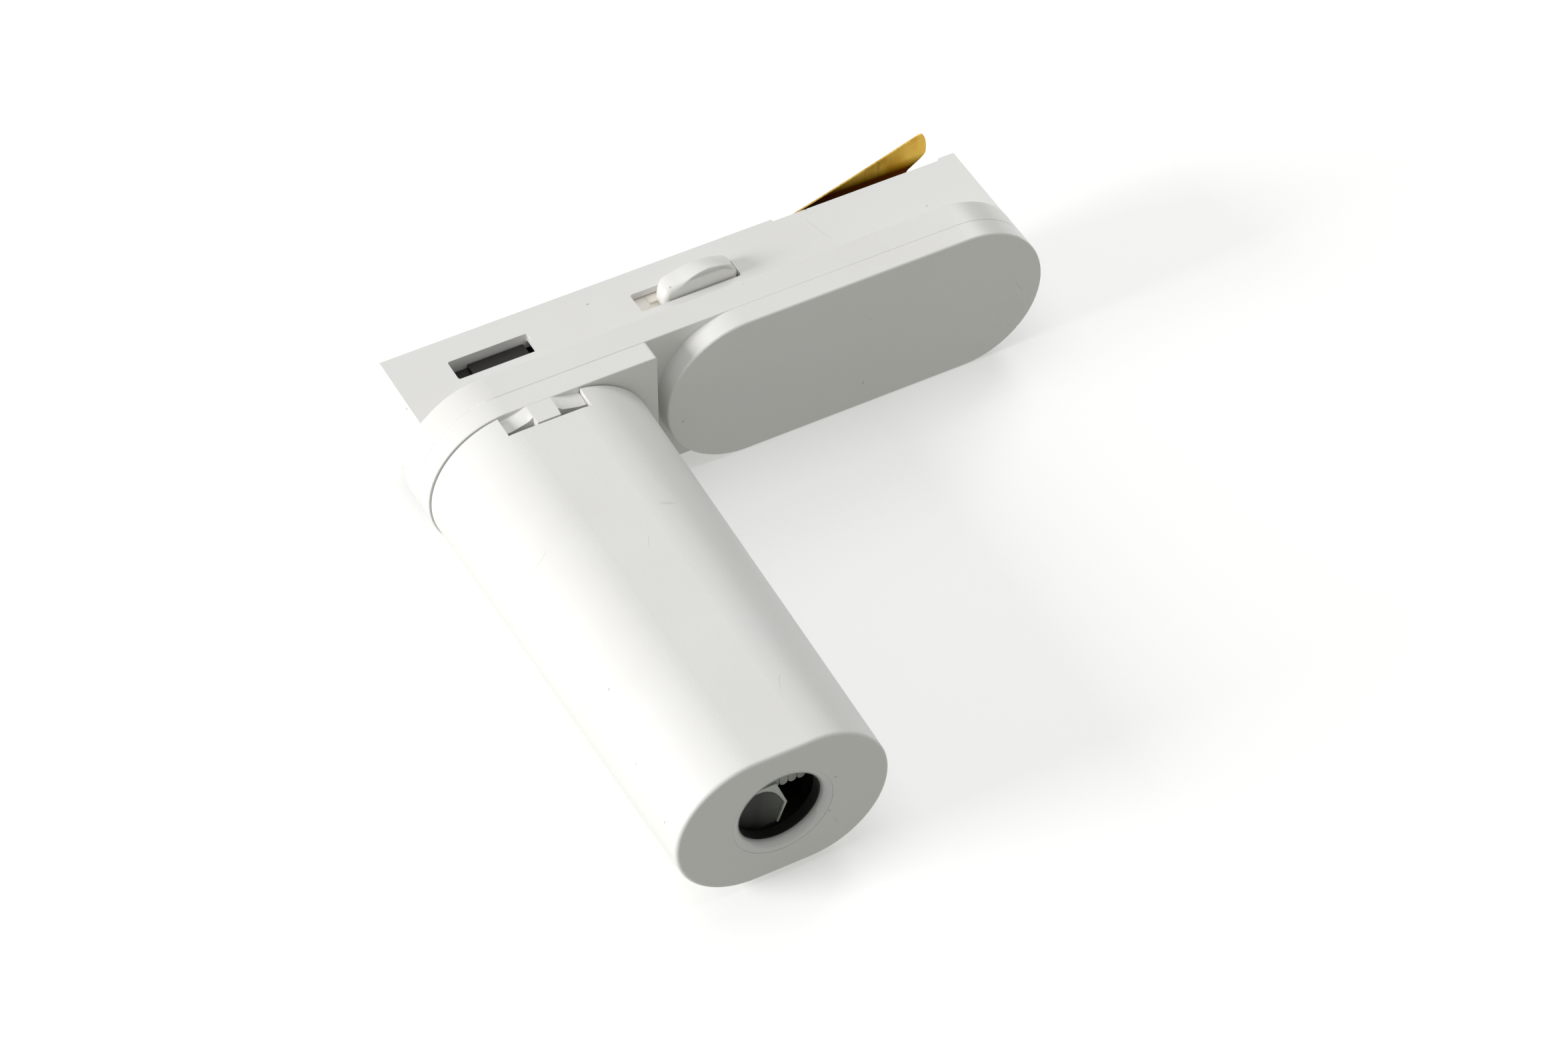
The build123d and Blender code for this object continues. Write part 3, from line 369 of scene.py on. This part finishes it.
def paint_dark_reflection(material, dark):
    """Darken the blade's front face at its root and lower edge: a painted dark reflection, on the
    face towards the bar.
    """
    graph = material.node_tree
    facing = vector_math(graph, "DOT_PRODUCT", coordinates(graph, "Normal"), (0.0, 1.0, 0.0))
    height = along(graph, BAND_DIRECTION, BAND_START, BAND_REACH)
    band = ramp(graph, height, (0.05, 1.0), (0.95, 0.0))
    return overlay(material, multiply(graph, band, less_than(graph, facing, 0.0)), dark)


def shade_across(material, far):
    """Painted shade: the guide's face fades to dark away from its pointed edge."""
    fade = along(material.node_tree, FADE_DIRECTION, FADE_START, FADE_REACH)
    return overlay(material, fade, far)


WHITE = (0.80, 0.80, 0.79)
BLACK = (0.012, 0.011, 0.010)
BRASS = (0.76, 0.51, 0.12)
# the dark brown of the blade's painted reflection
DARK_REFLECTION = (0.04, 0.014, 0.002)
GRAINED = ((0.38, 0.47), 2300.0, 0.00006)       # roughness, grain, grain depth
SHEATH = ((0.35, 0.45), 1500.0, 0.00003)
MATERIALS = {
    "white_smooth": plastic("white_smooth", WHITE, (0.27, 0.36), 2600.0, 0.000018),
    "white_grained": plastic("white_grained", WHITE, *GRAINED),
    # the sleeve's inner walls are painted black as shade
    "sleeve": paint_inside_shade(plastic("sleeve", WHITE, *GRAINED), BLACK),
    # cream, and made brighter than its own tone as painted light, since little light reaches the
    # thumb's foot in its slot
    "inner_white": plastic("inner_white", (0.94, 0.90, 0.84), (0.4, 0.5), 2200.0, 0.00004),
    "gloss_ring": plastic("gloss_ring", (0.78, 0.79, 0.79), (0.08, 0.15), 900.0, 0.000012),
    "inner_plastic": plastic("inner_plastic", (0.60, 0.63, 0.58), (0.4, 0.5), 2000.0, 0.00003),
    "black_plastic": plastic("black_plastic", BLACK, (0.38, 0.5), 2200.0, 0.00004, speck=3.0),
    "brass": brass("brass", BRASS, (0.25, 3.0, 3.0)),
    # the blade's face towards the bar carries a painted dark reflection near its root and lower
    # edge
    "blade_brass": paint_dark_reflection(brass("blade_brass", BRASS, (3.0, 3.0, 0.25)), DARK_REFLECTION),
    # the guide's dark face is painted shade for the inside of its hollow, darkest away from the
    # pointed edge
    "guide_face": shade_across(
        plastic("guide_face", (0.11, 0.12, 0.10), (0.5, 0.6), 2000.0, 0.00003), BLACK
    ),
    # a black ring of painted shade inside the bore, behind the glossy ring
    "bore_shade": plastic("bore_shade", (0.004, 0.004, 0.004), (0.75, 0.9), 2200.0, 0.00003, speck=2.0),
    "steel": steel("steel", (0.62, 0.62, 0.64)),
    "brown_sheath": plastic("brown_sheath", (0.16, 0.07, 0.03), *SHEATH),
    "blue_sheath": plastic("blue_sheath", (0.03, 0.10, 0.42), *SHEATH),
    "green_sheath": plastic("green_sheath", (0.12, 0.35, 0.05), *SHEATH),
}
SLOT_MATERIAL = {"white_plastic": "white_smooth"}
NODE_MATERIAL = {"arm_sleeve": "sleeve", "arm_block": "white_grained"}


def finish_cad_nodes():
    """Every CAD node gets the material of its slot, unless it has one of its own."""
    for part in frame["record"]["subparts"]:
        slot = part["material_slot"]
        name = NODE_MATERIAL.get(part["node"], SLOT_MATERIAL.get(slot, slot))
        node = frame["nodes"][part["node"]]
        node.data.materials.clear()
        node.data.materials.append(MATERIALS[name])


# ---------------------------------------------------------------- pieces that stand for CAD nodes
SHARP = math.radians(35)


def add_loft(shape, rings):
    """Join closed rings of points into one solid with flat ends."""
    rows = [[shape.verts.new(Vector(point) * MM) for point in ring] for ring in rings]
    for row, following in zip(rows, rows[1:]):
        for n in range(len(row)):
            m = (n + 1) % len(row)
            shape.faces.new((row[n], row[m], following[m], following[n]))
    shape.faces.new(rows[0])
    shape.faces.new(rows[-1][::-1])


def add_box(shape, x, y, z):
    corners = ((y[0], z[0]), (y[1], z[0]), (y[1], z[1]), (y[0], z[1]))
    add_loft(shape, [[(end, *corner) for corner in corners] for end in x])


def add_plate(shape, outline, front, back):
    """A plate of (x, z) outline between two depths."""
    add_loft(shape, [[(x, y, z) for x, z in outline] for y in (front, back)])


def make_piece(name, shape, material, body, node, edge=0.0):
    """Finish a piece: it rides on a body and stands for a CAD node; edge softens its corners."""
    bmesh.ops.recalc_face_normals(shape, faces=shape.faces)
    mesh = bpy.data.meshes.new(name)
    shape.to_mesh(mesh)
    shape.free()
    mesh.shade_smooth()
    mesh.set_sharp_from_angle(angle=SHARP)
    mesh.materials.append(MATERIALS[material])
    piece = bpy.data.objects.new(name, mesh)
    scene.collection.objects.link(piece)
    if edge:
        bevel = piece.modifiers.new("soft_edges", "BEVEL")
        bevel.width = edge * MM
        bevel.segments = 2
        bevel.limit_method = "ANGLE"
        bevel.angle_limit = SHARP
        bevel.harden_normals = True
    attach(piece, body)
    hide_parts(node)


def smooth_step(value, low, high):
    t = min(max((value - low) / (high - low), 0.0), 1.0)
    return t * t * (3 - 2 * t)


def quarter(distance, radius):
    """How far a rounded corner falls back, at a distance from its end."""
    t = 1 - min(max(distance / radius, 0.0), 1.0)
    return radius * (1 - math.sqrt(1 - t * t))


# -------- thumb tab with its foot and rack
TAB_X = (-7.3, 9.9)
TAB_Y = (51.02, 55.6)
TAB_FOOT_Z = 26.5
DOME_X = 2.0
DOME_TOP_Z = 32.4
DOME_R = 15.2
TAB_STATIONS = 72
CORNER_STEPS = 5
RIM_Z = 31.6                    # lower rim of the scoop for the thumb
SCOOP_LEVELS = 14
SCOOP_DEPTH = 0.6

RACK_X = -44.8                  # a tooth in line with the rotor's pin
RACK_TEETH = range(-2, 4)
RACK_PITCH = 2.199
RACK_TOOTH_HALF = 0.4
RACK_TOOTH_Z = (20.25, 21.6)
RACK_Y = (47.1, 50.6)
FOOT_BOXES = (                  # x, y and z ranges: the foot around its hollow, then the rack's bar
    ((-13.5, 10.2), (48.4, 58.2), (25.0, 26.0)),
    ((-13.5, -9.2), (48.4, 58.2), (26.0, 26.6)),
    ((-9.2, -7.2), (48.4, 51.7), (26.0, 26.6)),
    ((-9.2, -7.2), (53.9, 58.2), (26.0, 26.6)),
    ((-7.2, 10.2), (48.4, 58.2), (26.0, 26.6)),
    ((-52.8, 9.9), RACK_Y, (21.5, 26.2)),
)
FOOT_EDGE = 0.08


def tab_ring(x):
    """The tab's section at x: up its back, over the top and down its front."""
    left, right = x - TAB_X[0], TAB_X[1] - x
    # the dome's arc, fuller on the left and rounded off at both ends
    dome = DOME_TOP_Z - DOME_R + math.sqrt(DOME_R ** 2 - (x - DOME_X) ** 2)
    dome += 0.5 * (1 - smooth_step(x, -6.6, -2.0))
    dome -= 0.7 * quarter(left, 1.1) + 1.2 * quarter(right, 1.5)
    # its front edge stands higher from the middle on
    front_top = dome + 0.1 + 0.85 * smooth_step(x, -3.5, 3.5) * smooth_step(right, 0.0, 1.6)
    front = TAB_Y[0] + quarter(left, 1.5) + 0.8 * quarter(right, 1.2)
    back = TAB_Y[1] - 2.4 * (1 - smooth_step(left, -1.6, 2.0)) - 0.6 * quarter(right, 0.9)
    back = max(back, front + 0.3)
    width = back - front
    ring = [
        (back, TAB_FOOT_Z),
        (back, dome - 0.5),
        (back - min(0.14, width / 3), dome - 0.16),
        (back - min(0.45, width / 2.4), dome),
    ]
    # the front edge is sharper on the right
    soft = min(0.25 + 1.1 * (1 - smooth_step(x, -5.0, -0.5)), 0.5 * width)
    top = front_top - soft
    for n in range(CORNER_STEPS + 1):
        turn = math.radians(90 * n / CORNER_STEPS)
        y = front + soft * (1 - math.sin(turn))
        ring.append((y, front_top - soft * (1 - math.cos(turn))))
    # the scoop, between the front edge and a rim that falls towards the right
    rim = RIM_Z - 0.10 * (x + 0.6) / 3 - 1.2 * smooth_step(x, 6.6, 9.4)
    rim = min(rim, top - 0.15)
    depth = SCOOP_DEPTH * smooth_step(x, -2.2, 1.6) * smooth_step(9.3 - x, 0.0, 1.8)
    for n in range(1, SCOOP_LEVELS + 1):
        t = n / SCOOP_LEVELS
        ring.append((front + depth * math.sin(math.pi * t) ** 0.8, top + (rim - top) * t))
    ring += [(front, rim - 0.15), (front, (rim + TAB_FOOT_Z) / 2), (front, TAB_FOOT_Z)]
    return [(x, y, z) for y, z in ring]


def make_thumb():
    shape = bmesh.new()
    stations = []
    for n in range(TAB_STATIONS + 1):
        # closer together towards both ends
        t = 0.5 - 0.5 * math.cos(math.pi * n / TAB_STATIONS)
        stations.append(TAB_X[0] + (TAB_X[1] - TAB_X[0]) * t)
    add_loft(shape, [tab_ring(x) for x in stations])
    make_piece("thumb_tab", shape, "white_smooth", "thumb", "thumb_slider")

    foot = bmesh.new()
    for box in FOOT_BOXES:
        add_box(foot, *box)
    for n in RACK_TEETH:
        middle = RACK_X + n * RACK_PITCH
        add_box(foot, (middle - RACK_TOOTH_HALF, middle + RACK_TOOTH_HALF), RACK_Y, RACK_TOOTH_Z)
    make_piece(
        "thumb_rack", foot, "inner_white", "thumb", "thumb_slider", FOOT_EDGE
    )


# -------- release tongue
TONGUE_HALF = 9.0
TONGUE_Y = (30.5, 25.3)         # root and free edge of the level middle
TONGUE_SIDE_Y = 27.1            # free edge on both sides of it
TONGUE_Z = (33.1, 36.0)
BRIDGE_HALF = 2.65
TONGUE_SCOOP = 1.7
TONGUE_DROOP = 0.5              # further down towards the free edge
TONGUE_TURN_UP = 0.22           # and up again at both ends
TONGUE_STATIONS = 100
TONGUE_LEVELS = 26


def tongue_top(x, y):
    """Height of the tongue's upper face: level in the middle, sloping down on both sides of it."""
    aside = (abs(x - ARM_X) - BRIDGE_HALF) / (TONGUE_HALF - BRIDGE_HALF)
    if aside <= 0:
        return TONGUE_Z[1]
    outward = (TONGUE_Y[0] - y) / (TONGUE_Y[0] - TONGUE_SIDE_Y)
    slope = TONGUE_SCOOP * aside * (1.15 - 0.15 * aside)
    droop = TONGUE_DROOP * outward ** 2 * smooth_step(aside, 0.0, 0.2)
    turned_up = TONGUE_TURN_UP * smooth_step(aside, 0.72, 1.0) * outward
    return TONGUE_Z[1] - slope - droop + turned_up


def make_tongue():
    shape = bmesh.new()
    rows = []
    for n in range(TONGUE_STATIONS + 1):
        x = ARM_X - TONGUE_HALF + 2 * TONGUE_HALF * n / TONGUE_STATIONS
        end = TONGUE_Y[1] if abs(x - ARM_X) <= BRIDGE_HALF else TONGUE_SIDE_Y
        ring = [(x, TONGUE_Y[0], TONGUE_Z[0])]
        for m in range(TONGUE_LEVELS + 1):
            y = TONGUE_Y[0] + (end - TONGUE_Y[0]) * m / TONGUE_LEVELS
            ring.append((x, y, tongue_top(x, y)))
        ring.append((x, end, TONGUE_Z[0]))
        rows.append(ring)
    add_loft(shape, rows)
    make_piece("tongue", shape, "white_grained", "tongue", "release_tongue")


# -------- earth blade
BLADE_ROOT = (28.2, 62.15)      # x, y
BLADE_ANGLE = math.radians(14.7)
BLADE_THICK = 0.4
BLADE_STEP = 0.8                # between two sections
BLADE_LEVELS = 8
BLADE_BOW = 0.15                # how far its middle line bows towards the bar
BLADE_CREASE = (0.04, 34.8, 36.0)       # a small step in its face: how far, from and to
BLADE_SOFT_EDGE = 0.06
BLADE_EDGE = (                  # distance along the blade, lower edge, upper edge
    (0.0, 19.0, 28.0), (31.9, 19.0, 28.0), (32.5, 19.15, 28.0), (32.9, 19.6, 28.0),
    (33.4, 20.1, 28.0), (36.6, 21.0, 28.0), (37.3, 21.25, 27.95), (37.7, 21.4, 27.6),
    (38.1, 21.6, 26.9), (38.45, 21.85, 26.0), (38.65, 22.2, 25.0), (38.75, 22.9, 24.0),
)


def blade_sections():
    """Distance, lower edge and upper edge of every section along the blade."""
    sections = []
    for start, end in zip(BLADE_EDGE, BLADE_EDGE[1:]):
        steps = max(1, round((end[0] - start[0]) / BLADE_STEP))
        for n in range(steps):
            t = n / steps
            sections.append(tuple(a + (b - a) * t for a, b in zip(start, end)))
    sections.append(BLADE_EDGE[-1])
    return sections


def make_blade():
    shape = bmesh.new()
    cos, sin = math.cos(BLADE_ANGLE), math.sin(BLADE_ANGLE)
    length = BLADE_EDGE[-1][0]
    crease, crease_start, crease_end = BLADE_CREASE
    rings = []
    for distance, low, high in blade_sections():
        front = BLADE_BOW * math.sin(math.pi * distance / length)
        front += crease * smooth_step(distance, crease_start, crease_end)
        levels = [low + (high - low) * m / BLADE_LEVELS for m in range(BLADE_LEVELS + 1)]
        ring = [(front, z) for z in levels]
        ring += [(front + BLADE_THICK, z) for z in reversed(levels)]
        x, y = BLADE_ROOT[0] + distance * cos, BLADE_ROOT[1] + distance * sin
        rings.append([(x + aside * sin, y - aside * cos, z) for aside, z in ring])
    add_loft(shape, rings)
    make_piece(
        "earth_blade_leaf", shape, "blade_brass", "blade", "earth_blade", BLADE_SOFT_EDGE
    )


# -------- outlet's glossy ring, and behind it a black ring of painted shade inside the bore
RING_PROFILE = (                # radius, y
    (8.9, -69.9), (8.78, -70.35), (8.85, -70.75), (9.05, -71.15), (9.4, -71.5),
    (9.85, -71.74), (10.2, -71.88), (10.45, -71.97), (10.64, -71.9), (10.64, -69.5),
    (12.6, -69.5), (12.6, -68.3), (10.6, -68.3), (10.6, -69.0), (10.0, -69.9),
)
BORE_SHADE_PROFILE = ((8.6, -69.9), (10.0, -69.9), (10.6, -69.0), (10.6, -67.8), (8.6, -67.8))
TURN_STEPS = 128


def make_turned(name, profile, material):
    """A ring around the housing's middle line."""
    shape = bmesh.new()
    rows = []
    for n in range(TURN_STEPS):
        turn = 2 * math.pi * n / TURN_STEPS
        cos, sin = math.cos(turn), math.sin(turn)
        places = [(ARM_X + r * cos, y, MID_Z + r * sin) for r, y in profile]
        rows.append([shape.verts.new(Vector(place) * MM) for place in places])
    for row, following in zip(rows, rows[1:] + rows[:1]):
        for m in range(len(profile)):
            k = (m + 1) % len(profile)
            shape.faces.new((row[m], row[k], following[k], following[m]))
    make_piece(name, shape, material, "sleeve", "outlet_bush")


# -------- cord guide: a plate with a sunk face
GUIDE_RIM_Y = -67.4
GUIDE_SUNK_Y = -66.9
GUIDE_BACK_Y = -66.0
GUIDE_SKIN_Y = (-66.94, -66.8)          # front and back of the dark layer on the sunk face
GUIDE_EDGE = 0.1
GUIDE_OUTLINE = ((-55.0, 9.5), (-55.0, 20.8), (-44.6, 20.8), (-42.3, 14.4), (-44.2, 9.5))
GUIDE_FACE = (                          # its rounded upper edge, then down along the pointed edge
    (-55.0, 20.0), (-47.6, 19.95), (-46.6, 19.6), (-45.6, 18.95), (-44.8, 18.1), (-44.1, 17.0),
    (-43.5, 15.8), (-42.9, 14.4), (-44.5, 9.5),
)


def make_guide():
    plate = bmesh.new()
    add_plate(plate, GUIDE_OUTLINE, GUIDE_SUNK_Y, GUIDE_BACK_Y)
    add_plate(plate, GUIDE_OUTLINE[1:] + GUIDE_FACE[::-1], GUIDE_RIM_Y, GUIDE_SUNK_Y)
    make_piece(
        "guide_plate", plate, "inner_plastic", "adapter", "cord_guide", GUIDE_EDGE
    )
    # the dark face is painted shade for the inside of the guide's hollow
    face = bmesh.new()
    add_plate(face, GUIDE_FACE + GUIDE_OUTLINE[:1], *GUIDE_SKIN_Y)
    make_piece("guide_face", face, "guide_face", "adapter", "cord_guide")


make_camera()
make_floor()
make_lights()
finish_cad_nodes()
make_thumb()
make_tongue()
make_blade()
make_turned("outlet_ring", RING_PROFILE, "gloss_ring")
# the black ring inside the bore is painted shade
make_turned("outlet_bore_shade", BORE_SHADE_PROFILE, "bore_shade")
make_guide()
